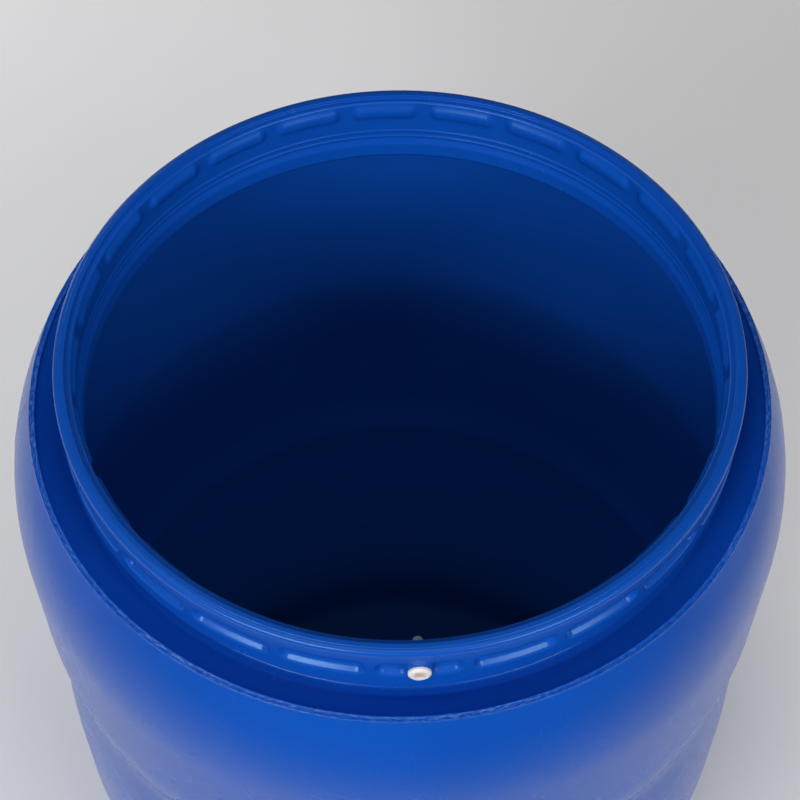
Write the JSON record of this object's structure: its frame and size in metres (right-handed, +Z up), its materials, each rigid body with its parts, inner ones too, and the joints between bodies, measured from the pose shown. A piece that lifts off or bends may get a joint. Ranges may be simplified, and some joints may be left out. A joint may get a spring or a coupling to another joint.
{
  "type": "plastic open head drum",
  "caption": "Open-top plastic drum with a padded rim, raised shoulder edge and rim plug, its lid and lever-lock closing ring leaning behind it.",
  "frame": {"origin": "centre of the flat base, on the surface that the drum stands on", "axes": "+Z up the drum's axis; -Y towards the rim plug; the lid and the closing ring lean behind the drum on +Y"},
  "size_m": [0.585, 0.7384, 0.93],
  "materials": {
    "drum_plastic": "satin moulded polyethylene",
    "lid_plastic": "satin moulded polyethylene",
    "plug_plastic": "matte white polyethylene",
    "gasket_rubber": "matte foam rubber",
    "ring_steel": "galvanised",
    "rivet_steel": "zinc plated"
  },
  "bodies": {
    "drum": {"drum_body": "drum_plastic"},
    "plug": {"rim_plug": "plug_plastic"},
    "lid": {"lid": "lid_plastic", "lid_gasket": "gasket_rubber"},
    "closing_ring": {"ring_band": "ring_steel", "lever_bracket": "ring_steel", "catch_bracket": "ring_steel", "seal_tab": "ring_steel"},
    "ring_lever": {"lever": "ring_steel", "lever_rivet": "rivet_steel"},
    "ring_link": {"link": "ring_steel", "link_rivet": "rivet_steel", "catch_pin": "rivet_steel"}
  },
  "joints": [
    {"name": "plug_pull", "type": "slide", "parent": "drum", "child": "plug", "axis": [0, -1, 0], "range_m": [0, 0.03]},
    {"name": "lid_lift", "type": "slide", "parent": "drum", "child": "lid", "axis": [0, 0, 1], "range_m": [0, 0.35]},
    {"name": "ring_take_away", "type": "slide", "parent": "lid", "child": "closing_ring", "axis": [0, 0.9903, 0.1392], "range_m": [0, 0.25]},
    {"name": "lever_swing", "type": "hinge", "parent": "closing_ring", "child": "ring_lever", "pos_m": [0.25993, 0.37829, 0.28605], "axis": [0, 0.9903, 0.1392], "range_deg": [0, 150]},
    {"name": "link_swing", "type": "hinge", "parent": "ring_lever", "child": "ring_link", "pos_m": [0.25584, 0.375, 0.30946], "axis": [0, 0.9903, 0.1392], "range_deg": [-150, 0]}
  ],
  "couplings": [
    {"joint": "link_swing", "follows": "lever_swing", "ratio": -1}
  ]
}
